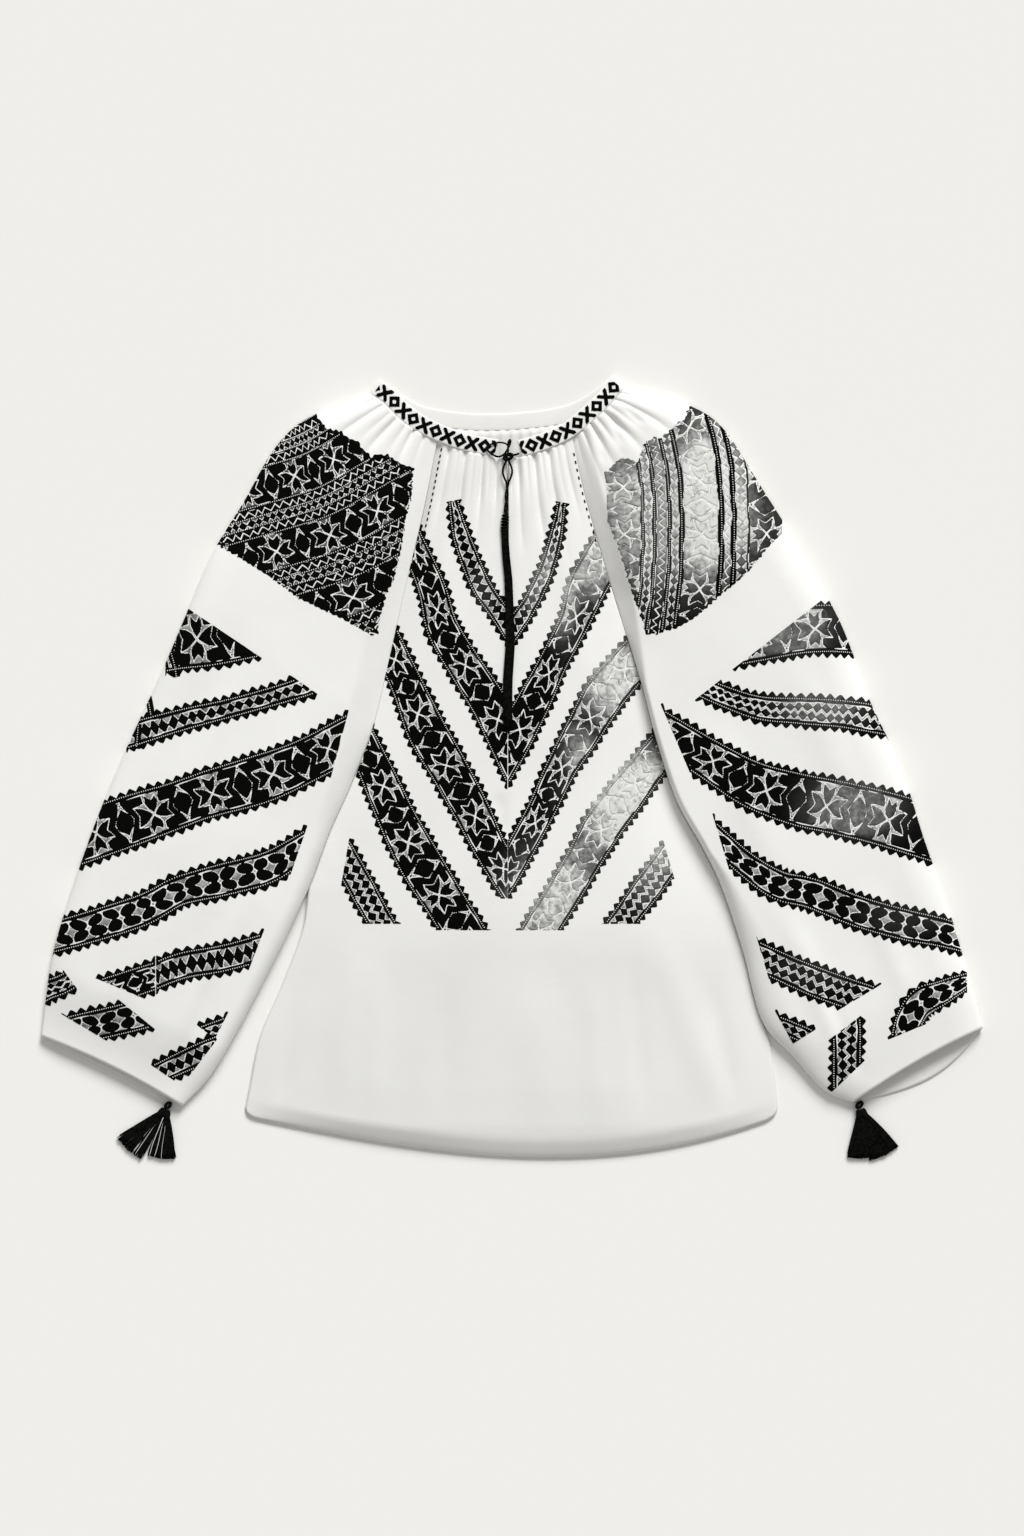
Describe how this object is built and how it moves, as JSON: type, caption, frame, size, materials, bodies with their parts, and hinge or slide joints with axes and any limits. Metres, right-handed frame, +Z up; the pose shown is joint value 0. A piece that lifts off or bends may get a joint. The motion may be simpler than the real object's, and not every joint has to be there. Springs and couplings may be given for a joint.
{
  "type": "romanian ie blouse laid flat",
  "caption": "Romanian ie blouse laid flat: full raglan sleeves and body gathered into a narrow neckband, neck slit with a tasselled tie, open cuffs with tassels, black stitched bands.",
  "frame": {"origin": "middle of the laid-out blouse in plan, on the table that it lies on", "axes": "+X towards the wearer's left sleeve, +Y from the hem towards the neck, +Z up from the table, out of the front"},
  "size_m": [0.894, 0.7458, 0.024],
  "materials": {
    "cloth": "matt plain-woven off-white linen",
    "thread": "black twisted cotton thread with a soft sheen"
  },
  "bodies": {
    "root": {"front": "cloth", "back": "cloth", "sleeve_right": "cloth", "sleeve_left": "cloth", "neckband": "cloth", "tie_cord_right": "thread", "tie_cord_left": "thread", "tie_knot": "thread", "tie_end_right": "thread", "tie_end_left": "thread", "tassel_tie_right": "thread", "tassel_tie_left": "thread", "cuff_knot_right": "thread", "cuff_knot_left": "thread", "tassel_cuff_right_outer": "thread", "tassel_cuff_right_inner": "thread", "tassel_cuff_left_inner": "thread", "tassel_cuff_left_outer": "thread"}
  },
  "joints": []
}
